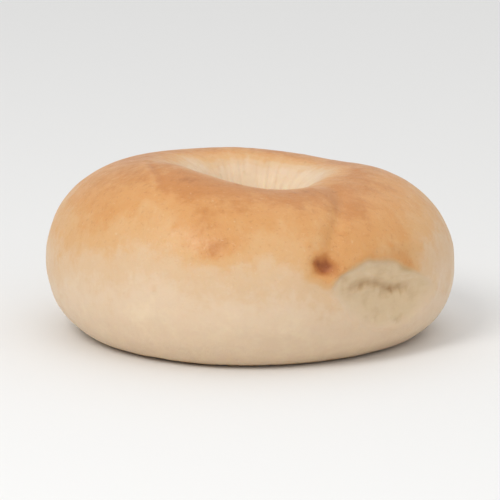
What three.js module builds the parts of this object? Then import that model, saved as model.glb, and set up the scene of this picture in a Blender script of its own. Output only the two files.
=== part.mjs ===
// A plain New York style bagel: a ring of dough, proofed, boiled and baked as one piece.
//
// Frame: millimetres, +Z up. The origin is on the surface that the bagel rests on, at the middle of its
// outline. -Y is the front, and +X is to the right of someone looking at the front.
//
// The ring is a torus whose section changes round it. Every place on the skin has two angles:
//   turn  goes round the ring, 0 at the front and 90 degrees at +X;
//   roll  goes round the section, 0 at the outside, 90 degrees on top, 180 degrees on the wall of the hole.

import * as THREE from "three";

// Driving dimensions.
const OUTER_RADIUS = 52.7; // half the width of the ring
const HEIGHT = 42.9; // crest above the flat underside, before its lift and dip round the ring
const CREST_RADIUS = 26.5; // radius of the ring's highest line
const HOLE_RADIUS = 10.2; // at the narrowest place of the hole
const WIDEST_AT = 18.2; // height of the widest line of the section
const SAG_BELOW = 3.6; // how far the section would reach below the surface if it had not settled flat
const EDGE_BLEND = 1.6; // half-width of the soft edge round the flat underside
const PATCH_BLEND = 0.9; // half-width of the soft edge round a flat that a neighbour left

// Where two neighbours on the baking board touched this one: direction, distance of the flat from the axis,
// and how much the flat leans back.
const TOUCHES = [
  { turn: 42, reach: 50.6, lean: 3 },
  { turn: 197, reach: 50.1, lean: -4 },
];

// The lap where the two ends of the dough rope were joined. It runs slantwise over the top.
const LAP_TURN_OUT = 23; // degrees, at the outer face
const LAP_TURN_TOP = 47; // degrees, at the crest
const LAP_DEPTH = 0.85; // how deep its valley is
const LAP_WIDTH = 3.0; // half-width of the valley
const LAP_STEP = 0.6; // how much lower the ring is just past it

// Broad dents and swellings: turn, roll, their half-widths in degrees, and height.
const SWELLS = [
  [-38, 48, 26, 30, 0.45],
  [-72, 118, 20, 24, -0.6],
  [98, 60, 24, 28, 0.4],
  [132, 95, 18, 30, -0.7],
  [168, 40, 24, 26, 0.5],
  [-118, 55, 26, 32, 0.5],
  [-150, 100, 18, 28, -0.5],
  [-12, 5, 28, 16, -0.45],
  [70, 150, 22, 26, 0.5],
];

// Resolution of the faceted skin.
const ROUND = 96;
const SECTION = 44;

const { sin, cos, abs, pow, exp, hypot, tanh, PI } = Math;
const RAD = PI / 180;

// A corner at zero, rounded off over 2 * w: 0 below -w, and x above w.
const softened = (x, w) => (x <= -w ? 0 : x >= w ? x : ((x + w) * (x + w)) / (4 * w));
const ramp = (x) => (x <= 0 ? 0 : x >= 1 ? 1 : x * x * (3 - 2 * x));
const apart = (a, b) => (((a - b + 540) % 360) + 360) % 360 - 180; // degrees from b to a, the short way
const bell = (x) => exp(-x * x);

// The slow changes round the ring, from the angle of turn.
const outerAt = (t) => OUTER_RADIUS + 0.8 * cos(2 * t - 1.84) + 0.4 * cos(3 * t + 1.1) + 0.25 * cos(5 * t + 0.4);
const heightAt = (t) => HEIGHT + 2.1 * cos(t + 1.27) + 0.78 * cos(2 * t + 1.95) + 0.72 * cos(3 * t + 2.28);
const crestAt = (t) => CREST_RADIUS + 1.75 * cos(t - 0.22) + 0.55 * cos(2 * t + 0.08) + 0.5 * cos(3 * t + 0.3);
const holeAt = (t) => HOLE_RADIUS + 1.1 * cos(2 * t + 0.9) + 0.9 * cos(t + 1.9) + 0.5 * cos(3 * t + 2.0);
const widestAt = (t) => WIDEST_AT + 0.7 * cos(t + 0.5) + 0.4 * cos(3 * t - 1.0);

// The section before it settled: a squared-off ellipse, wider outside than inside, as [radius, height].
function section(t, p) {
  const c = cos(p);
  const s = sin(p);
  const crest = crestAt(t);
  const widest = widestAt(t);
  const up = ramp((s + 1) / 2);
  const out = ramp((c + 1) / 2);
  const a = (crest - holeAt(t)) * (1 - out) + (outerAt(t) - crest) * out;
  const b = (widest + SAG_BELOW) * (1 - up) + (heightAt(t) - widest) * up;
  const n = 2.24 - 0.2 * up;
  const rho = pow(pow(abs(c) / a, n) + pow(abs(s) / b, n), -1 / n);
  return [crest + rho * c, widest + rho * s];
}

// How far a place is past the lap, in millimetres round the ring. Negative is before it.
function pastLap(turn, roll, radius) {
  const lap = LAP_TURN_OUT + (LAP_TURN_TOP - LAP_TURN_OUT) * ramp((roll - 22) / 80);
  return apart(turn, lap) * RAD * radius;
}

// How far the skin stands out from the section, along its normal.
function relief(turn, roll, radius) {
  let d = 0;
  for (const [at, tilt, wide, tall, rise] of SWELLS)
    d += rise * bell(apart(turn, at) / wide) * bell(apart(roll, tilt) / tall);
  const s = pastLap(turn, roll, radius);
  const shown = ramp((roll - 12) / 22) * (1 - ramp((roll - 66) / 40));
  d -= LAP_DEPTH * shown * bell((s - 0.6) / LAP_WIDTH);
  d -= LAP_STEP * shown * (0.5 + 0.5 * tanh(s / 2.2)) * exp(-(s > 0 ? s : 0) / 17);
  return d;
}

const onRing = (t, radius, z, into) => into.set(radius * sin(t), -radius * cos(t), z);

function rawPlace(t, p, into) {
  const [radius, z] = section(t, p);
  return onRing(t, radius, z, into);
}

const A = new THREE.Vector3();
const B = new THREE.Vector3();
const C = new THREE.Vector3();
const D = new THREE.Vector3();
const STEP = 1e-4;

// The place on the skin with the section's shape, its relief, the neighbours' flats and the flat underside.
function place(t, p, into) {
  rawPlace(t + STEP, p, A).sub(rawPlace(t - STEP, p, B));
  rawPlace(t, p + STEP, C).sub(rawPlace(t, p - STEP, D));
  const normal = A.cross(C).normalize();
  rawPlace(t, p, into);
  const radius = hypot(into.x, into.y);
  into.addScaledVector(normal, relief(t / RAD, p / RAD, radius));
  for (const { turn, reach, lean } of TOUCHES) {
    const level = cos(lean * RAD);
    C.set(sin(turn * RAD) * level, -cos(turn * RAD) * level, sin(lean * RAD));
    const past = into.dot(C) - WIDEST_AT * C.z - reach;
    into.addScaledVector(C, -softened(past, PATCH_BLEND));
  }
  into.z = softened(into.z, EDGE_BLEND);
  return into;
}

// The rolls that divide the settled section at one turn into equal lengths.
function evenRolls(t, count) {
  const fine = 720;
  const along = [0];
  const last = new THREE.Vector3();
  const here = new THREE.Vector3();
  place(t, 0, last);
  for (let i = 1; i <= fine; i++) {
    place(t, (2 * PI * i) / fine, here);
    along.push(along[i - 1] + here.distanceTo(last));
    last.copy(here);
  }
  const rolls = [];
  for (let j = 0, i = 0; j < count; j++) {
    const want = (along[fine] * j) / count;
    while (along[i + 1] < want) i++;
    const share = (want - along[i]) / (along[i + 1] - along[i]);
    rolls.push((2 * PI * (i + share)) / fine);
  }
  rolls.push(2 * PI);
  return rolls;
}

// A torus geometry gives the grid, and each of its vertices goes to its place on the skin.
function bagelGeometry() {
  const geometry = new THREE.TorusGeometry(CREST_RADIUS, 20, SECTION, ROUND);
  const position = geometry.getAttribute("position");
  const uv = geometry.getAttribute("uv");
  const rolls = [];
  for (let i = 0; i < ROUND; i++) rolls.push(evenRolls((2 * PI * i) / ROUND, SECTION));
  rolls.push(rolls[0]);
  const at = new THREE.Vector3();
  for (let k = 0; k < position.count; k++) {
    const i = Math.round(uv.getX(k) * ROUND) % ROUND;
    const j = Math.round(uv.getY(k) * SECTION) % SECTION;
    place((2 * PI * i) / ROUND, rolls[i][j], at);
    position.setXYZ(k, at.x, at.y, at.z);
  }
  // The outline's middle goes over the origin.
  geometry.computeBoundingBox();
  const middle = geometry.boundingBox.getCenter(new THREE.Vector3());
  geometry.translate(-middle.x, -middle.y, 0);
  geometry.computeVertexNormals();
  return geometry;
}

const crust = new THREE.MeshStandardMaterial({ color: 0xe0ae78, roughness: 0.5, metalness: 0 });

const bagel = new THREE.Mesh(bagelGeometry(), crust);
bagel.name = "bagel";

const part = new THREE.Group();
part.add(bagel);

export default part;
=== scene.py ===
# The looks of a plain bagel, made round its imported CAD part. Metres, +Z up, in the row frame.
#
# The fine skin is the CAD's own surface at a higher resolution, with the small shapes of real crust on it: the
# crease of the lap, a dimple, two flats where neighbours touched, wrinkles in the wall of the hole, low blisters
# and pores. Masks on its points say how brown each place is and where shade is painted into its hollows, and the
# material does the rest.

import math

import bpy
import numpy as np
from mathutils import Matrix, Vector


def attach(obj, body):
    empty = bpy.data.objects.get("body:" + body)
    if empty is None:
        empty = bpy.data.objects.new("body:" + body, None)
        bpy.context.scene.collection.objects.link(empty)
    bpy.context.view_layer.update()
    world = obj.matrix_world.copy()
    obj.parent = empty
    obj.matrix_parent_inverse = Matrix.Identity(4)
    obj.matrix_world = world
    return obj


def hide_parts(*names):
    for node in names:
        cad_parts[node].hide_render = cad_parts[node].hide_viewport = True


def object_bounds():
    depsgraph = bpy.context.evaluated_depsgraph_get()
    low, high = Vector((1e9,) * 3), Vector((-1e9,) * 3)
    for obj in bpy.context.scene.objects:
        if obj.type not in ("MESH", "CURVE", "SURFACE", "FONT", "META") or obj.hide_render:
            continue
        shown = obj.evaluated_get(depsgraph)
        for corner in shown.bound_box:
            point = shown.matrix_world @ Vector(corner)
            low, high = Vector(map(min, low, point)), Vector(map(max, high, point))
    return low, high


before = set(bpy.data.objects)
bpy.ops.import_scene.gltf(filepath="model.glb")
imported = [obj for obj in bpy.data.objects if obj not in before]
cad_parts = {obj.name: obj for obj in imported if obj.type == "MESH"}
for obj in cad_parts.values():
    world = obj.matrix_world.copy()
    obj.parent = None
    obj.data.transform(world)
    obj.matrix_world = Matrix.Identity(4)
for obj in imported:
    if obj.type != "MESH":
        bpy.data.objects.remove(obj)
cad_lo, cad_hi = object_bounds()

RAD = np.pi / 180

# ---------------------------------------------------------------- the CAD's shape, in millimetres

OUTER_RADIUS = 52.7
HEIGHT = 42.9
CREST_RADIUS = 26.5
HOLE_RADIUS = 10.2
WIDEST_AT = 18.2
SAG_BELOW = 3.6
EDGE_BLEND = 1.6
PATCH_BLEND = 0.9
TOUCHES = [(42, 50.6, 3), (197, 50.1, -4)]
LAP_TURN_OUT = 23
LAP_TURN_TOP = 47
LAP_DEPTH = 0.85
LAP_WIDTH = 3.0
LAP_STEP = 0.6
SWELLS = [
    (-38, 48, 26, 30, 0.45),
    (-72, 118, 20, 24, -0.6),
    (98, 60, 24, 28, 0.4),
    (132, 95, 18, 30, -0.7),
    (168, 40, 24, 26, 0.5),
    (-118, 55, 26, 32, 0.5),
    (-150, 100, 18, 28, -0.5),
    (-12, 5, 28, 16, -0.45),
    (70, 150, 22, 26, 0.5),
]
CAD_ROUND, CAD_SECTION = 96, 44
ROUND, SECTION = 480, 208  # 199,680 triangles


def ramp(x):
    x = np.clip(x, 0.0, 1.0)
    return x * x * (3 - 2 * x)


def softened(x, w):
    return np.where(x <= -w, 0.0, np.where(x >= w, x, (x + w) ** 2 / (4 * w)))


def apart(a, b):
    return (a - b + 540) % 360 - 180


def bell(x):
    return np.exp(-x * x)


def section(t, p):
    c, s = np.cos(p), np.sin(p)
    outer = OUTER_RADIUS + 0.8 * np.cos(2 * t - 1.84) + 0.4 * np.cos(3 * t + 1.1) + 0.25 * np.cos(5 * t + 0.4)
    height = HEIGHT + 2.1 * np.cos(t + 1.27) + 0.78 * np.cos(2 * t + 1.95) + 0.72 * np.cos(3 * t + 2.28)
    crest = CREST_RADIUS + 1.75 * np.cos(t - 0.22) + 0.55 * np.cos(2 * t + 0.08) + 0.5 * np.cos(3 * t + 0.3)
    hole = HOLE_RADIUS + 1.1 * np.cos(2 * t + 0.9) + 0.9 * np.cos(t + 1.9) + 0.5 * np.cos(3 * t + 2.0)
    widest = WIDEST_AT + 0.7 * np.cos(t + 0.5) + 0.4 * np.cos(3 * t - 1.0)
    up = ramp((s + 1) / 2)
    out = ramp((c + 1) / 2)
    a = (crest - hole) * (1 - out) + (outer - crest) * out
    b = (widest + SAG_BELOW) * (1 - up) + (height - widest) * up
    n = 2.24 - 0.2 * up
    rho = ((np.abs(c) / a) ** n + (np.abs(s) / b) ** n) ** (-1 / n)
    return crest + rho * c, widest + rho * s


def raw_place(t, p):
    radius, z = section(t, p)
    return np.stack([radius * np.sin(t), -radius * np.cos(t), z], -1)


def past_lap(turn, roll, radius):
    lap = LAP_TURN_OUT + (LAP_TURN_TOP - LAP_TURN_OUT) * ramp((roll - 22) / 80)
    return apart(turn, lap) * RAD * radius


def relief(turn, roll, radius):
    d = np.zeros_like(turn)
    for at, tilt, wide, tall, rise in SWELLS:
        d += rise * bell(apart(turn, at) / wide) * bell(apart(roll, tilt) / tall)
    s = past_lap(turn, roll, radius)
    shown = ramp((roll - 12) / 22) * (1 - ramp((roll - 66) / 40))
    d -= LAP_DEPTH * shown * bell((s - 0.6) / LAP_WIDTH)
    d -= LAP_STEP * shown * (0.5 + 0.5 * np.tanh(s / 2.2)) * np.exp(-np.maximum(s, 0) / 17)
    return d


def place(t, p):
    """The CAD's skin at each turn t and roll p, and how far each neighbour's flat cut into it."""
    h = 1e-4
    across = np.cross(raw_place(t + h, p) - raw_place(t - h, p), raw_place(t, p + h) - raw_place(t, p - h))
    across /= np.linalg.norm(across, axis=-1, keepdims=True)
    at = raw_place(t, p)
    radius = np.hypot(at[..., 0], at[..., 1])
    at += across * relief(t / RAD, p / RAD, radius)[..., None]
    cuts = []
    for turn, reach, lean in TOUCHES:
        level = math.cos(lean * RAD)
        way = np.array([math.sin(turn * RAD) * level, -math.cos(turn * RAD) * level, math.sin(lean * RAD)])
        past = at @ way - WIDEST_AT * way[2] - reach
        at -= way * softened(past, PATCH_BLEND)[..., None]
        cuts.append(past)
    at[..., 2] = softened(at[..., 2], EDGE_BLEND)
    return at, cuts


def even_rolls(t, count):
    """The rolls that divide the section at each turn into equal lengths."""
    fine = 720
    p = np.linspace(0, 2 * np.pi, fine + 1)
    at, _ = place(*np.broadcast_arrays(t[:, None], p[None, :]))
    step = np.linalg.norm(np.diff(at, axis=1), axis=-1)
    along = np.concatenate([np.zeros((len(t), 1)), np.cumsum(step, 1)], 1)
    want = np.arange(count) / count
    return np.stack([np.interp(want * row[-1], row, p) for row in along])


def skin(rounds, sections):
    t = np.arange(rounds) * 2 * np.pi / rounds
    p = even_rolls(t, sections)
    t = np.repeat(t[:, None], sections, 1)
    return t, p, *place(t, p)


# ---------------------------------------------------------------- seeded noise


def gradients(seed):
    rng = np.random.default_rng(seed)
    table = rng.permutation(256)
    way = rng.normal(size=(256, 3))
    return np.concatenate([table, table]), way / np.linalg.norm(way, axis=1, keepdims=True)


def noise(q, seed):
    """Gradient noise, about -1 to 1, at points q in cells."""
    table, way = gradients(seed)
    cell = np.floor(q).astype(int)
    f = q - cell
    u = f * f * f * (f * (f * 6 - 15) + 10)
    x, y, z = cell[..., 0] & 255, cell[..., 1] & 255, cell[..., 2] & 255
    total = 0.0
    for i in (0, 1):
        for j in (0, 1):
            for k in (0, 1):
                hashed = table[table[table[(x + i) & 255] + ((y + j) & 255)] + ((z + k) & 255)]
                corner = f - np.array([i, j, k])
                weight = (
                    (u[..., 0] if i else 1 - u[..., 0])
                    * (u[..., 1] if j else 1 - u[..., 1])
                    * (u[..., 2] if k else 1 - u[..., 2])
                )
                total = total + weight * np.einsum("...i,...i", way[hashed], corner)
    return total * 1.6


def cloud(q, wave, seed, octaves=3, fall=0.5):
    """Layered noise whose longest wave is `wave` millimetres."""
    total, size, most = 0.0, 1.0, 0.0
    for o in range(octaves):
        total = total + size * noise(q / wave * 2**o + 11.3 * (o + 1), seed * 7 + o)
        most += size
        size *= fall
    return total / most


def smooth(a, b, x):
    return ramp((x - a) / (b - a))


# ---------------------------------------------------------------- the fine skin

_, _, coarse, _ = skin(CAD_ROUND, CAD_SECTION)
middle = (coarse.reshape(-1, 3).min(0) + coarse.reshape(-1, 3).max(0)) / 2
middle[2] = 0

t, p, at, cuts = skin(ROUND, SECTION)
turn = apart(t / RAD, 0)  # -180 to 180, 0 at the front
roll = p / RAD
at = at - middle


def normals_of(grid):
    along = np.roll(grid, -1, 0) - np.roll(grid, 1, 0)
    over = np.roll(grid, -1, 1) - np.roll(grid, 1, 1)
    n = np.cross(along, over)
    return n / np.maximum(np.linalg.norm(n, axis=-1, keepdims=True), 1e-12)


normal = normals_of(at)
base = at.copy()
radius = np.hypot(base[..., 0], base[..., 1])
z = base[..., 2]


def spot_at(turn_deg, height):
    """The point on the outer face at that turn and height."""
    far = np.abs(apart(turn, turn_deg)) * 3 + np.abs(z - height) + np.where((roll > 95) & (roll < 300), 99, 0)
    i, j = np.unravel_index(np.argmin(far), far.shape)
    return base[i, j]


def segment(q, a, b):
    """Distance from each point to the line from a to b, and the share along it."""
    d = b - a
    s = np.clip(((q - a) @ d) / (d @ d), 0, 1)
    return np.linalg.norm(q - (a + s[..., None] * d), axis=-1), s


board_edge = 0.45 * cloud(base, 8.0, 60, 3)
under = smooth(1.5, 0.15, z + board_edge) * smooth(0.45, 0.9, -normal[..., 2])  # the flat underside
wall = smooth(105, 135, roll) * (1 - smooth(225, 245, roll)) * (1 - under)  # the wall of the hole

# Slow unevenness, then the skin's own grain.
d = 0.20 * cloud(base, 21.0, 3, 2)
d += 0.10 * cloud(base, 9.0, 4, 2)
# Soft dents from handling, low on the sides and back.
for at_turn, at_z, tilt, long_, wide_, deep in (
    (-84, 15, 70, 7.5, 2.6, 0.42), (-96, 24, 20, 6.0, 3.0, 0.30), (-128, 12, 80, 6.5, 2.2, 0.40), (-150, 20, 15, 8.0, 2.6, 0.34),
    (166, 13, 5, 7.5, 2.4, 0.34), (140, 22, 60, 6.0, 2.6, 0.36), (112, 12, 78, 7.0, 2.4, 0.42), (88, 20, 30, 6.5, 3.0, 0.30),
    (-30, 9, 8, 9.0, 2.2, 0.22), (8, 7, -6, 8.0, 2.0, 0.20),
):
    a = RAD * at_turn
    off = base - np.array([np.sin(a), -np.cos(a), 0]) * 51.5 - np.array([0, 0, at_z])
    sideways = off @ np.array([np.cos(a), np.sin(a), 0]) + 1.2 * noise(base / 8.0, 13)
    upward = off[..., 2] + 1.0 * noise(base / 7.0, 14)
    depth_in = off @ np.array([np.sin(a), -np.cos(a), 0])
    u = sideways * math.cos(tilt * RAD) + upward * math.sin(tilt * RAD)
    v = upward * math.cos(tilt * RAD) - sideways * math.sin(tilt * RAD)
    d -= deep * bell(u / long_) * bell(v / wide_) * bell(depth_in / 14)
grain = cloud(base, 3.4, 5, 2)
d += 0.040 * grain

# Wrinkles where the skin was gathered into the hole: mostly up and down its wall.
ripple = np.stack([np.sin(t) * 5.6, np.cos(t) * 5.6, z / 19.0], -1) + 0.10 * noise(base / 6.0, 20)[..., None]
ripple_a = noise(ripple, 21)
ripple_b = noise(ripple * np.array([2.3, 2.3, 1.4]) + 5, 22)
gathered = smooth(88, 128, roll) * (1 - smooth(205, 235, roll)) * (1 - under)
folded = smooth(0.35, 1.0, 1 - np.abs(ripple_a) * 1.9)
puckered = smooth(0.35, 1.0, 1 - np.abs(ripple_b) * 1.9)
some = 0.35 + 0.65 * smooth(-0.35, 0.45, noise(base / 9.0 + 3.0, 23))
d -= gathered * some * (0.26 * folded + 0.07 * puckered)
wrinkle = gathered * some * (0.65 * folded + 0.2 * puckered)

# Faint radial pleats over the crest.
pleat = noise(np.stack([np.sin(t) * 17, np.cos(t) * 17, z / 30], -1), 25)
crest_band = smooth(38, 66, roll) * (1 - smooth(100, 125, roll))
d += 0.035 * crest_band * pleat

# The lap: a shallow crease, soft over the crest and a little sharper near its lower end.
wander = 0.9 * noise(base / 7.0, 31) + 0.35 * noise(base / 2.4, 32)
lap = past_lap(turn, roll, radius) + wander
lap_shown = smooth(16, 30, roll) * (1 - smooth(50, 84, roll)) * (roll < 180)
lap_depth = 0.12 * (1 - smooth(22, 44, roll))
crease = bell(lap / (0.8 + 0.6 * smooth(30, 60, roll))) * lap_shown
d -= lap_depth * crease
d += 0.16 * lap_shown * bell((lap + 0.2) / 1.9)

# A faint fold in the skin of the top, running slantwise out from the hole on the left.
fold_path = [(-72, 27.2), (-57, 29.6), (-45, 33.0), (-35, 37.0), (-31, 39.5)]


def top_spot(turn_deg, from_axis):
    """The point on the top at that turn and distance from the axis."""
    far = np.abs(apart(turn, turn_deg)) * 2 + np.abs(radius - from_axis) + np.where(z < 22, 99, 0)
    i, j = np.unravel_index(np.argmin(far), far.shape)
    return base[i, j]


fold = np.zeros_like(d)
lip = np.zeros_like(d)
for k, (a, b) in enumerate(zip(fold_path, fold_path[1:])):
    a, b = top_spot(*a), top_spot(*b)
    out = np.cross(b - a, np.array([0, 0, 1.0]))
    out /= np.linalg.norm(out)
    far, share = segment(base, a, b)
    strength = np.interp(k + share, [0, 0.8, 2.6, 4], [0.1, 1.0, 0.8, 0.0])
    fold = np.maximum(fold, bell((far + 0.3 * noise(base / 3.0, 36)) / 0.8) * strength)
    far, share = segment(base, a + 1.8 * out, b + 1.8 * out)
    lip = np.maximum(lip, bell((far + 0.3 * noise(base / 3.0, 37)) / 1.5) * strength)
d += 0.22 * lip - 0.26 * fold

# The dimple at the lap's lower end.
pit = spot_at(20.8, 26.8)
q = base - pit
q_up = np.array([0, 0, 1.0])
q_side = np.array([math.cos(20.8 * RAD), math.sin(20.8 * RAD), 0.0])
du, dv = q @ q_side + 0.5 * noise(base / 2.6, 33), q @ q_up + 0.4 * noise(base / 2.2, 34)
near = np.linalg.norm(q, axis=-1) < 14
hollow = bell(np.hypot(du / 2.5, (dv + 0.12 * du) / 1.9)) * near
# Painted shade: the colour is darkened inside the dimple's hollow.
dimple_shade = smooth(1.75, 0.55, np.hypot(du / 2.3, (dv + 0.2 * du) / 1.75) + 0.35 * noise(base / 2.0, 59)) * near
d -= 1.45 * hollow
d += 0.12 * bell((np.hypot(du / 2.3, dv / 1.75) - 1.85) / 0.7) * near
# It runs down and to the right into the pale flat, as a shallow groove.
run, share = segment(base, spot_at(21.5, 25.5), spot_at(27.5, 22.6))
groove = bell((run + 0.35 * noise(base / 1.9, 35)) / 0.85) * near
d -= 0.6 * groove * (1 - 0.6 * share)

# The flats that neighbours left: pale and dry, torn round the edge, with a browned lip over the front one.
edge_noise = 0.85 * cloud(base, 12.0, 41, 3, 0.55) + 0.10 * noise(base / 1.9, 42)
top_edge = np.interp(turn, [20, 23.6, 29.3, 35.6, 43.1, 50.1, 55.3, 60], [21.4, 22.7, 25.2, 26.3, 25.3, 23.2, 20.2, 17.5])
below_top = top_edge - z - 0.6 * noise(base / 4.2, 43)
deep_a = cuts[0] + 1.5 * bell((turn - 26.5) / 3.6) * bell((z - 21.8) / 3.4) + edge_noise
deep_b = cuts[1] + edge_noise * 1.2 + 0.5 * bell(apart(turn, -174) / 8) * bell((z - 21) / 6)
front_part = (turn > 10) & (turn < 75)
flat_a = smooth(-0.50, 0.60, deep_a) * smooth(-1.0, 1.0, below_top) * front_part
flat_b = smooth(-0.50, 0.65, deep_b)
flats = np.maximum(flat_a, flat_b)
pale = np.maximum(smooth(-0.95, 1.15, deep_a) * smooth(-1.3, 1.3, below_top) * front_part, smooth(-0.95, 1.25, deep_b))
# The torn skin is coarse in places near the flat's edge, and soft as felt in its middle, with faint folds across it.
inside = np.where(flat_a > flat_b, np.minimum(deep_a, 1.0 + 0.35 * (top_edge - z)), deep_b)
near_edge = flats * (1 - smooth(0.7, 1.7, inside)) * smooth(-0.25, 0.45, cloud(base, 9.0, 40, 2))
torn = cloud(base, 2.6, 44, 3, 0.55)
swell = cloud(base, 8.5, 48, 2)
lines = noise(np.stack([base[..., 0] / 9.0, base[..., 1] / 9.0, z / 2.2], -1) + 0.35 * noise(base / 5.0, 38)[..., None], 49)
lines = smooth(0.62, 1.0, 1 - np.abs(lines) * 1.6)
rougher = flat_b * smooth(20, 9, z + 5 * cloud(base, 9.0, 46, 2))
pores = smooth(0.40, 0.85, noise(base / 1.7, 45)) * np.maximum(0.04 + 0.96 * near_edge, 0.8 * rougher)
tucks = smooth(0.45, 1.0, 1 - np.abs(noise(np.stack([base[..., 0] / 8.0, base[..., 1] / 8.0, z / 4.2], -1) + 0.3 * noise(base / 4.0, 67)[..., None], 68)) * 1.7)
d += flats * ((0.012 + 0.14 * near_edge + 0.16 * rougher) * torn + 0.20 * swell - 0.12 * lines - 0.24 * pores - 0.22)
d -= 0.15 * flat_b * tucks * (1 - 0.5 * rougher)
# The skin is rolled over a little round each flat, and browned over the front one.
d += 0.30 * bell((deep_b + 0.65) / 0.55) * (cuts[1] > -3) + 0.24 * bell((deep_a + 0.65) / 0.55) * (cuts[0] > -3) * smooth(20, 17, z)
rim = np.zeros_like(d)
glow = np.zeros_like(d)
lip_path = [(22.8, 22.6), (25.6, 24.6), (29.3, 26.3), (35.6, 27.4), (43.1, 26.4), (50.1, 24.4), (55.0, 21.6)]
for (t0, h0), (t1, h1) in zip(lip_path, lip_path[1:]):
    far, _ = segment(base, spot_at(t0, h0), spot_at(t1, h1))
    rim = np.maximum(rim, bell((far + 0.5 * noise(base / 3.1, 47)) / 1.3))
    glow = np.maximum(glow, bell((far + 1.0 * noise(base / 4.5, 39)) / 3.2))
d += 0.42 * rim
rim_b = bell((deep_b + 0.35) / 0.40) * smooth(14, 24, z) * (cuts[1] > -3)

# A crack under the browned lip, and fainter ones in the other flat.
crack = np.zeros_like(d)
path = [(28.0, 20.0, 0.1), (30.8, 21.0, 0.65), (34.4, 21.5, 0.85), (37.4, 20.7, 0.75), (40.2, 19.6, 0.65), (43.6, 18.5, 0.9), (46.8, 18.1, 1.0), (49.8, 18.3, 0.6), (52.6, 19.2, 0.0)]
for (t0, h0, s0), (t1, h1, s1) in zip(path, path[1:]):
    far, share = segment(base, spot_at(t0, h0), spot_at(t1, h1))
    crack = np.maximum(crack, bell((far + 0.30 * noise(base / 2.0, 51)) / 1.15) * (s0 + (s1 - s0) * share))
for (t0, h0), (t1, h1) in (((188, 21.0), (196, 19.6)), ((196, 19.6), (204, 17.0)), ((204, 17.0), (207, 16.4))):
    far, _ = segment(base, spot_at(t0, h0), spot_at(t1, h1))
    crack = np.maximum(crack, 0.55 * bell((far + 0.6 * noise(base / 2.4, 52) + 0.2) / 0.8))
ragged = near_edge * smooth(0.15, 0.6, cloud(base, 5.0, 53, 3)) * smooth(0.66, 0.97, 1 - np.abs(noise(base / 2.9, 54)) * 1.7)
d -= 0.72 * crack + 0.20 * ragged
# The skin above the crack stands out a little, like the edge of a flap.
flap = flat_a * smooth(17.5, 21.0, z) * (1 - smooth(21.5, 26.0, z))
d += 0.22 * flap
# A browner, mottled band just under the crack, on the flat.
under_crack_band = np.zeros_like(d)
for (t0, h0, s0), (t1, h1, s1) in zip(path, path[1:]):
    far, share = segment(base, spot_at(t0, h0 - 0.7), spot_at(t1, h1 - 0.7))
    under_crack_band = np.maximum(under_crack_band, bell((far + 0.8 * noise(base / 2.2, 55)) / 1.8) * (s0 + (s1 - s0) * share))

# Low blisters and burst ones.
rng = np.random.default_rng(77)
points = base.reshape(-1, 3)
upper = np.flatnonzero((z.ravel() > 9) & (flats.ravel() < 0.1))
bump = np.zeros(len(points))
burst = np.zeros(len(points))
for k in range(300):
    c = points[rng.choice(upper)]
    size = 0.45 + 0.9 * rng.random() ** 2.2
    tall = (0.05 + 0.10 * rng.random()) * size / 0.8
    open_top = rng.random() < 0.10
    closeby = np.flatnonzero(np.abs(points[:, 0] - c[0]) < size * 3)
    r = np.linalg.norm(points[closeby] - c, axis=1) / size
    if open_top:
        bump[closeby] -= 1.3 * tall * bell(r / 0.8)
        burst[closeby] = np.maximum(burst[closeby], bell(r / 0.8))
    else:
        bump[closeby] += tall * np.clip(1 - r * r / 2.4, 0, 1) ** 2
bump = bump.reshape(d.shape)
burst = burst.reshape(d.shape)
d += bump * (1 - 0.7 * wall)

# The underside: the board's grain and pores, all cut upwards.
pocks = smooth(0.30, 0.8, noise(base / 2.1, 61)) + 0.7 * smooth(0.35, 0.85, noise(base / 1.1, 62))
creases = smooth(0.86, 1.0, 1 - np.abs(noise(base / 6.5, 63)) * 1.6)
flat_cut = under * (0.02 + 0.30 * pocks + 0.16 * creases + 0.10 * smooth(0.0, 0.9, cloud(base, 12, 64, 2)))
flat_touch = smooth(0.05, 0.5, cloud(base, 12, 64, 2))
d = d * (1 - under) - flat_cut
# Short stretch cracks just above the foot.
stretch = smooth(0.80, 0.98, 1 - np.abs(noise(np.stack([base[..., 0] / 4.2, base[..., 1] / 4.2, z / 1.7], -1), 65)) * 1.7)
stretch = stretch * smooth(10.5, 7.0, z) * smooth(0.8, 2.6, z) * (1 - wall) * smooth(-0.1, 0.4, cloud(base, 17, 66, 2))
d -= 0.09 * stretch

at = base + normal * d[..., None]
at[..., 2] = np.maximum(at[..., 2], 0)

# It stays inside the CAD's box.
lo, hi = np.array(cad_lo) * 1000, np.array(cad_hi) * 1000
for axis in (0, 1, 2):
    for side, limit in ((1, hi[axis]), (-1, -lo[axis])):
        if axis == 2 and side == -1:
            continue
        v = at[..., axis] * side
        top = v.max()
        if top > limit:
            begin = limit - 6.0
            at[..., axis] = np.where(v > begin, (begin + (v - begin) * (limit - begin) / (top - begin)) * side, at[..., axis])
at[..., 2] -= at[..., 2].min()

# ---------------------------------------------------------------- how brown each place is, and the painted shade in its hollows

# The outer face browns from the bottom up, slowly and in soft clouds, lower in some places than others.
shift = (
    1.0 * np.cos(t + 0.6)
    - 6.0 * bell(apart(turn, 40) / 20)
    - 4.0 * bell(apart(turn, -74) / 26)
    + 1.8 * bell(apart(turn, -30) / 20)
    - 3.0 * bell(apart(turn, 120) / 24)
    + 2.0 * bell(apart(turn, -150) / 20)
)
lift = z - shift + 4.2 * cloud(base, 17.0, 71, 4, 0.6)
face = 0.10 + 0.23 * smooth(7, 31, lift) + 0.29 * smooth(22, 42, lift) + 0.16 * smooth(36, 46, lift)
inner = 0.80 * (1 - smooth(82, 126, roll + 8 * cloud(base, 12, 73, 3)))
brown = np.where(roll < 90, face, np.where(roll > 270, face, np.minimum(inner, face + 0.05)))
brown = np.where((roll > 200) & (roll <= 270), 0.06, brown)
brown += 0.10 * cloud(base, 13.0, 74, 3) * smooth(3, 12, z) * (1 - wall)
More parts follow.
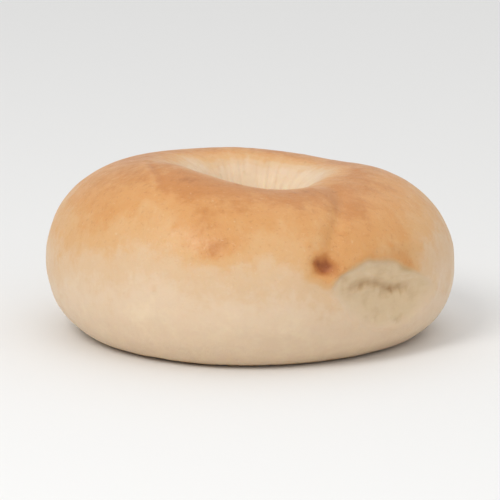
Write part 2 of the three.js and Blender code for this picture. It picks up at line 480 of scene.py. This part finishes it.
# The blotch on the front and the slanting band above it, fainter ones elsewhere, and browning round the dimple,
# past the lap, over the flat and on the crest.
q = base - spot_at(-10, 31.6)
brown = brown + 0.10 * bell(np.linalg.norm(base - spot_at(-3.5, 33.0), axis=-1) / 5.0 + 0.2 * cloud(base, 6, 80, 2))
brown = brown + 0.38 * bell(np.linalg.norm(q * np.array([0.72, 1, 1.15]), axis=-1) / 4.0 + 0.50 * cloud(base, 5.5, 75, 2))
band, _ = segment(base, spot_at(-12, 33.0), top_spot(-30, 34.0))
brown = brown + 0.13 * bell((band + 1.5 * noise(base / 5.0, 79)) / 5.0)
brown = brown + 0.08 * bell(np.linalg.norm(base - spot_at(-56, 33.0), axis=-1) / 6.5 + 0.2 * cloud(base, 6, 76, 2))
brown = brown + 0.18 * bell(np.linalg.norm(base - spot_at(150, 27.0), axis=-1) / 6.0 + 0.2 * cloud(base, 6, 77, 2))
brown = brown + 0.50 * bell(np.hypot((du - 0.8) / 4.8, (dv + 0.3) / 3.5)) * near + 0.07 * rim + 0.05 * glow + 0.10 * rim_b
brown = brown + 0.13 * lap_shown * smooth(-4.2, 0.6, lap) * (1 - smooth(4, 18, lap))
# Painted shade in the groove of the fold on the top, and a painted highlight, paler, on its raised lip.
brown = brown + 0.16 * fold - 0.12 * lip
brown = brown + 0.13 * bell(apart(roll, 80) / 22) * bell(apart(turn, 4) / 36)
brown = brown + 0.14 * bell(apart(roll, 84) / 20) * (0.6 + 0.8 * cloud(base, 15, 78, 3))
brown = brown + 0.05 * smooth(20, 50, roll) * (1 - smooth(100, 125, roll)) * pleat
brown = brown + 0.05 * smooth(0, 1, bump / 0.14)
scorched = smooth(-0.1, 0.5, cloud(base, 4.5, 57, 3))
# The dimple's hollow is also browned here, as painted shade.
brown = np.where(brown > 0.68, 0.68 + 0.55 * (brown - 0.68), brown) + 0.16 * dimple_shade
corner = np.linalg.norm((base - spot_at(50, 23.3)) * np.array([1, 1, 0.75]), axis=-1)
corner = bell((corner + 0.5 * noise(base / 2.0, 58)) / 2.0)
brown = brown + 0.20 * corner
brown = np.clip(brown, 0, 1) * (1 - 0.95 * pale) + 0.34 * corner * flats + 0.34 * near_edge * scorched + 0.36 * flats * under_crack_band * smooth(-0.5, 0.4, noise(base / 1.6, 56))

# Painted shade: the colour is darkened in the hollows, that is the dimple, its groove, the lap's crease, the cracks,
# torn edges, the fold, pores, tucks, burst blisters, wrinkles in the hole, stretch cracks and the underside's pits.
# The same mask also makes these places rougher.
painted_hollow_shade = np.clip(
    0.58 * dimple_shade + 0.28 * groove + 0.08 * crease * (1 - smooth(22, 44, roll)) + 0.62 * crack + 0.22 * ragged + 0.10 * fold
    + 0.22 * flats * np.clip(pores, 0, 1) + 0.08 * flat_b * tucks + 0.10 * burst + 0.20 * wrinkle + 0.10 * stretch + 0.30 * under * np.clip(pocks, 0, 1),
    0, 1,
)

# ---------------------------------------------------------------- the mesh


def grid_mesh(name, grid):
    n, m = grid.shape[:2]
    index = np.arange(n * m).reshape(n, m)
    right = np.roll(index, -1, 0)
    faces = np.stack([index, right, np.roll(right, -1, 1), np.roll(index, -1, 1)], -1).reshape(-1, 4)
    mesh = bpy.data.meshes.new(name)
    mesh.vertices.add(n * m)
    mesh.vertices.foreach_set("co", (grid.reshape(-1, 3) / 1000).astype(np.float32).ravel())
    mesh.loops.add(faces.size)
    mesh.loops.foreach_set("vertex_index", faces.astype(np.int32).ravel())
    mesh.polygons.add(len(faces))
    mesh.polygons.foreach_set("loop_start", np.arange(0, faces.size, 4, dtype=np.int32))
    mesh.polygons.foreach_set("loop_total", np.full(len(faces), 4, dtype=np.int32))
    mesh.update(calc_edges=True)
    mesh.polygons.foreach_set("use_smooth", np.ones(len(faces), dtype=bool))
    # Half the ring on each of two strips, one over the other.
    uv = mesh.uv_layers.new(name="OFBake")
    i, j = np.divmod(np.arange(n * m), m)
    u0, v0 = np.meshgrid(np.arange(n), np.arange(m), indexing="ij")
    corner = []
    for di, dj in ((0, 0), (1, 0), (1, 1), (0, 1)):
        strip = (u0 >= n // 2).astype(float)
        u = (u0 - strip * (n // 2) + di) / (n // 2)
        v = (v0 + dj) / m
        corner.append(np.stack([0.004 + 0.992 * u, 0.5 * strip + 0.004 + 0.492 * v], -1))
    uv.data.foreach_set("uv", np.stack(corner, 2).reshape(-1, 2).astype(np.float32).ravel())
    mesh.validate()
    return mesh


mesh = grid_mesh("bagel_skin", at)
for name, values in (("brown", brown), ("painted_hollow_shade", painted_hollow_shade), ("flats", pale), ("under", under * (1 - 0.5 * flat_touch)), ("wall", wall), ("fair", flat_b)):
    layer = mesh.attributes.new(name, "FLOAT", "POINT")
    layer.data.foreach_set("value", np.ascontiguousarray(values, dtype=np.float32).ravel())
bagel = bpy.data.objects.new("bagel_skin", mesh)
bpy.context.scene.collection.objects.link(bagel)

# ---------------------------------------------------------------- the crust's material


def srgb(r, g, b):
    def line(v):
        v /= 255
        return v / 12.92 if v <= 0.04045 else ((v + 0.055) / 1.055) ** 2.4

    return (line(r), line(g), line(b), 1.0)


class Tree:
    """A few short ways to add nodes."""

    def __init__(self, material):
        material.use_nodes = True
        self.tree = material.node_tree
        self.tree.nodes.clear()

    def add(self, kind, **settings):
        node = self.tree.nodes.new(kind)
        for key, value in settings.items():
            setattr(node, key, value)
        return node

    def link(self, a, b):
        self.tree.links.new(a, b)

    def feed(self, node, socket, value):
        target = node.inputs[socket]
        if isinstance(value, bpy.types.NodeSocket):
            self.link(value, target)
        else:
            target.default_value = value

    def attribute(self, name):
        return self.add("ShaderNodeAttribute", attribute_name=name).outputs["Fac"]

    def maths(self, how, a, b=0.0, c=0.0, clamp=False):
        node = self.add("ShaderNodeMath", operation=how, use_clamp=clamp)
        self.feed(node, 0, a)
        self.feed(node, 1, b)
        self.feed(node, 2, c)
        return node.outputs[0]

    def noise(self, where, wave_mm, detail=2.0, rough=0.5, warp=0.0):
        node = self.add("ShaderNodeTexNoise", noise_dimensions="3D")
        self.link(where, node.inputs["Vector"])
        node.inputs["Scale"].default_value = 1000.0 / wave_mm
        node.inputs["Detail"].default_value = detail
        node.inputs["Roughness"].default_value = rough
        node.inputs["Distortion"].default_value = warp
        return node.outputs["Fac"]

    def moved(self, where, by, stretch=(1, 1, 1)):
        node = self.add("ShaderNodeMapping")
        self.link(where, node.inputs["Vector"])
        node.inputs["Location"].default_value = by
        node.inputs["Scale"].default_value = stretch
        return node.outputs["Vector"]

    def cells(self, where, size_mm):
        node = self.add("ShaderNodeTexVoronoi", voronoi_dimensions="3D", feature="F1")
        self.link(where, node.inputs["Vector"])
        node.inputs["Scale"].default_value = 1000.0 / size_mm
        return node.outputs["Distance"]

    def between(self, value, low, high, to_low=0.0, to_high=1.0):
        node = self.add("ShaderNodeMapRange", interpolation_type="SMOOTHSTEP", clamp=True)
        self.feed(node, "Value", value)
        self.feed(node, "From Min", low)
        self.feed(node, "From Max", high)
        self.feed(node, "To Min", to_low)
        self.feed(node, "To Max", to_high)
        return node.outputs["Result"]

    def colours(self, value, stops):
        node = self.add("ShaderNodeValToRGB")
        band = node.color_ramp
        band.interpolation = "EASE"
        while len(band.elements) > 1:
            band.elements.remove(band.elements[-1])
        band.elements[0].position = stops[0][0]
        band.elements[0].color = stops[0][1]
        for where, colour in stops[1:]:
            band.elements.new(where).color = colour
        self.feed(node, "Fac", value)
        return node.outputs["Color"]

    def mix(self, share, a, b, how="MIX"):
        node = self.add("ShaderNodeMix", data_type="RGBA", blend_type=how, clamp_factor=True)
        self.feed(node, 0, share)
        self.feed(node, 6, a)
        self.feed(node, 7, b)
        return node.outputs[2]


def crust_material():
    material = bpy.data.materials.new("crust")
    T = Tree(material)
    where = T.add("ShaderNodeTexCoord").outputs["Object"]
    brown_ = T.attribute("brown")
    painted_hollow_shade_ = T.attribute("painted_hollow_shade")
    flats_ = T.attribute("flats")
    under_ = T.attribute("under")
    wall_ = T.attribute("wall")

    wide = T.noise(where, 11.0, 3.0, 0.55)
    middle_ = T.noise(T.moved(where, (0.31, 0.12, 0.05)), 3.6, 3.0, 0.6, warp=0.4)
    small = T.noise(T.moved(where, (0.07, 0.41, 0.22)), 1.25, 3.0, 0.6)
    dust = T.noise(T.moved(where, (0.55, 0.17, 0.33)), 0.55, 2.0, 0.5)

    shade = T.maths("MULTIPLY_ADD", T.maths("SUBTRACT", wide, 0.5), 0.20, brown_)
    shade = T.maths("MULTIPLY_ADD", T.maths("SUBTRACT", middle_, 0.5), 0.22, shade)
    shade = T.maths("MULTIPLY_ADD", T.maths("SUBTRACT", small, 0.5), 0.09, shade)
    colour = T.colours(
        shade,
        [
            (0.00, srgb(230, 207, 175)),
            (0.14, srgb(224, 198, 168)),
            (0.30, srgb(219, 186, 148)),
            (0.48, srgb(216, 170, 118)),
            (0.66, srgb(211, 154, 94)),
            (0.82, srgb(195, 131, 69)),
            (1.00, srgb(152, 88, 40)),
        ],
    )
    # Small toasted specks where it is brown, and pale grains of flour here and there.
    toasted = T.between(T.noise(T.moved(where, (0.9, 0.3, 0.1)), 0.95, 2.0, 0.5), 0.60, 0.72)
    toasted = T.maths("MULTIPLY", toasted, T.between(brown_, 0.25, 0.75, 0.02, 0.26))
    colour = T.mix(toasted, colour, srgb(164, 100, 54))
    floury = T.between(T.noise(T.moved(where, (0.2, 0.8, 0.6)), 0.8, 2.0, 0.5), 0.64, 0.78, 0.0, 0.22)
    colour = T.mix(floury, colour, srgb(232, 212, 178))

    # The wall of the hole stays pale.
    colour = T.mix(T.maths("MULTIPLY", wall_, 0.45), colour, T.colours(shade, [(0.0, srgb(236, 218, 190)), (0.4, srgb(224, 190, 146))]))

    # The torn flats: crumb showing through a thin dry skin.
    fibres = T.noise(T.moved(where, (0.15, 0.35, 0.75), (0.30, 0.30, 1.0)), 1.3, 3.0, 0.55, warp=0.5)
    crumb = T.colours(
        T.maths("MULTIPLY_ADD", T.maths("SUBTRACT", fibres, 0.5), 0.30, T.maths("MULTIPLY_ADD", T.maths("SUBTRACT", middle_, 0.5), 0.45, wide)),
        [(0.25, srgb(205, 177, 140)), (0.5, srgb(214, 188, 152)), (0.75, srgb(223, 200, 167))],
    )
    crumb = T.mix(T.maths("MULTIPLY", T.attribute("fair"), T.between(fibres, 0.3, 0.7, 0.4, 0.8)), crumb, srgb(229, 208, 174))
    crumb = T.mix(T.between(brown_, 0.03, 0.45, 0.0, 0.8), crumb, srgb(178, 144, 96))
    colour = T.mix(T.maths("MULTIPLY", flats_, 0.95), colour, crumb)

    # The underside: browned by the board, mottled, with paler rings round the pores.
    board = T.colours(
        T.maths("MULTIPLY_ADD", T.maths("SUBTRACT", middle_, 0.5), 0.45, wide),
        [(0.22, srgb(219, 186, 140)), (0.5, srgb(207, 166, 114)), (0.78, srgb(188, 140, 90))],
    )
    colour = T.mix(T.maths("MULTIPLY", under_, 0.90), colour, board)

    # Painted shade in the hollows: creases and pits go darker and redder in the crust, and dull brown in the crumb.
    hollow_shade_tint = T.mix(flats_, srgb(206, 147, 105), srgb(190, 158, 114))
    colour = T.mix(T.maths("MULTIPLY", painted_hollow_shade_, 0.85), colour, T.mix(1.0, colour, hollow_shade_tint, "MULTIPLY"))
    # The deepest hollows get a darker, redder painted shade.
    deep_hollow_shade = T.maths("MULTIPLY", T.between(painted_hollow_shade_, 0.45, 0.9, 0.0, 0.30), T.between(flats_, 0.2, 0.7, 1.0, 0.0))
    colour = T.mix(deep_hollow_shade, colour, srgb(176, 100, 62))

    # Height of the grain, for the bump: in the same scale as the geometry's own grain, and finer.
    pits = T.between(T.cells(where, 1.15), 0.06, 0.40, 0.0, 1.0)
    hair = T.noise(T.moved(where, (0.4, 0.9, 0.2)), 2.2, 4.0, 0.62, warp=1.2)
    hair = T.between(T.maths("ABSOLUTE", T.maths("SUBTRACT", hair, 0.5)), 0.0, 0.035, 0.0, 1.0)
    height = T.maths("MULTIPLY", small, 0.50)
    height = T.maths("MULTIPLY_ADD", dust, 0.22, height)
    height = T.maths("MULTIPLY_ADD", pits, 0.22, height)
    height = T.maths("MULTIPLY_ADD", hair, 0.10, height)
    height = T.maths("MULTIPLY", height, T.between(flats_, 0.2, 0.9, 1.0, 0.45))
    height = T.maths("MULTIPLY_ADD", T.maths("MULTIPLY", flats_, fibres), 0.7, height)
    rough_parts = T.maths("MAXIMUM", flats_, under_)
    crumbs = T.noise(T.moved(where, (0.66, 0.22, 0.77)), 0.9, 4.0, 0.7)
    height = T.maths("MULTIPLY_ADD", T.maths("MULTIPLY", T.maths("MULTIPLY_ADD", flats_, 0.3, under_), crumbs), 0.8, height)
    bump_ = T.add("ShaderNodeBump")
    bump_.inputs["Strength"].default_value = 1.0
    bump_.inputs["Distance"].default_value = 0.00013
    T.link(height, bump_.inputs["Height"])

    # Satin where the skin is whole, dry on the flats, underside and creases.
    rough = T.maths("MULTIPLY_ADD", T.maths("SUBTRACT", middle_, 0.5), 0.22, T.between(brown_, 0.2, 0.8, 0.46, 0.36))
    rough = T.maths("MULTIPLY_ADD", T.maths("SUBTRACT", small, 0.5), 0.16, rough)
    rough = T.maths("MULTIPLY_ADD", rough_parts, 0.30, rough)
    rough = T.maths("MULTIPLY_ADD", painted_hollow_shade_, 0.18, rough)
    rough = T.maths("MULTIPLY_ADD", wall_, 0.10, rough, clamp=True)

    shader = T.add("ShaderNodeBsdfPrincipled")
    T.link(colour, shader.inputs["Base Color"])
    T.link(rough, shader.inputs["Roughness"])
    T.link(bump_.outputs["Normal"], shader.inputs["Normal"])
    shader.inputs["Metallic"].default_value = 0.0
    shader.inputs["IOR"].default_value = 1.45
    shader.inputs["Specular IOR Level"].default_value = 0.45
    shader.inputs["Subsurface Weight"].default_value = 0.22
    shader.inputs["Subsurface Radius"].default_value = (1.0, 0.55, 0.25)
    shader.inputs["Subsurface Scale"].default_value = 0.0022
    out = T.add("ShaderNodeOutputMaterial")
    T.link(shader.outputs[0], out.inputs["Surface"])
    return material


mesh.materials.append(crust_material())
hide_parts("bagel")
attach(bagel, "root")

# ---------------------------------------------------------------- floor, lights and camera


def floor_material():
    material = bpy.data.materials.new("pale_floor")
    T = Tree(material)
    where = T.add("ShaderNodeTexCoord").outputs["Object"]
    tone = T.noise(where, 900.0, 1.0, 0.4)
    colour = T.colours(tone, [(0.3, (0.80, 0.80, 0.795, 1)), (0.7, (0.82, 0.82, 0.815, 1))])
    shader = T.add("ShaderNodeBsdfPrincipled")
    T.link(colour, shader.inputs["Base Color"])
    shader.inputs["Roughness"].default_value = 0.75
    shader.inputs["Specular IOR Level"].default_value = 0.25
    out = T.add("ShaderNodeOutputMaterial")
    T.link(shader.outputs[0], out.inputs["Surface"])
    return material


def flat_sheet(name, half, height):
    sheet = bpy.data.meshes.new(name)
    sheet.from_pydata([(-half, -half, height), (half, -half, height), (half, half, height), (-half, half, height)], [], [(0, 1, 2, 3)])
    thing = bpy.data.objects.new(name, sheet)
    bpy.context.scene.collection.objects.link(thing)
    return thing


floor = flat_sheet("floor", 25.0, -0.00004)
floor.data.materials.append(floor_material())

scene = bpy.context.scene
world = bpy.data.worlds.new("studio")
scene.world = world
world.use_nodes = True
sky = world.node_tree.nodes["Background"]
sky.inputs["Color"].default_value = (1.0, 1.0, 1.0, 1.0)
sky.inputs["Strength"].default_value = 0.64


def lamp(name, place_, size, power, colour, target=(0, 0, 0.02)):
    data = bpy.data.lights.new(name, "AREA")
    data.shape = "DISK"
    data.size = size
    data.energy = power
    data.color = colour
    thing = bpy.data.objects.new(name, data)
    thing.location = place_
    thing.rotation_euler = (Vector(target) - Vector(place_)).to_track_quat("-Z", "Y").to_euler()
    scene.collection.objects.link(thing)
    return thing


lamp("key", (-0.50, -0.64, 0.84), 0.55, 5.3, (1.0, 0.99, 0.97))
lamp("fill", (0.50, -0.74, 0.74), 1.0, 1.2, (1.0, 1.0, 1.0))
# A broad soft light from above reaches the whole floor.
above = bpy.data.lights.new("above", "SUN")
above.energy = 0.50
above.angle = 1.3
above.color = (1.0, 0.998, 0.992)
overhead = bpy.data.objects.new("above", above)
overhead.location = (0.12, 0.35, 1.0)
overhead.rotation_euler = (-overhead.location).to_track_quat("-Z", "Y").to_euler()
scene.collection.objects.link(overhead)

eye = bpy.data.cameras.new("camera")
eye.lens = 250
eye.sensor_width = 36
eye.clip_start, eye.clip_end = 0.05, 50
camera = bpy.data.objects.new("camera", eye)
scene.collection.objects.link(camera)
elevation = math.radians(12.2)
back = Vector((0, -math.cos(elevation), math.sin(elevation)))
aim = Vector((0, 0, 0.0205))
camera.location = aim + back * 0.90
camera.rotation_euler = (-back).to_track_quat("-Z", "Y").to_euler()
scene.camera = camera
scene.view_settings.view_transform = "Standard"
scene.view_settings.look = "None"
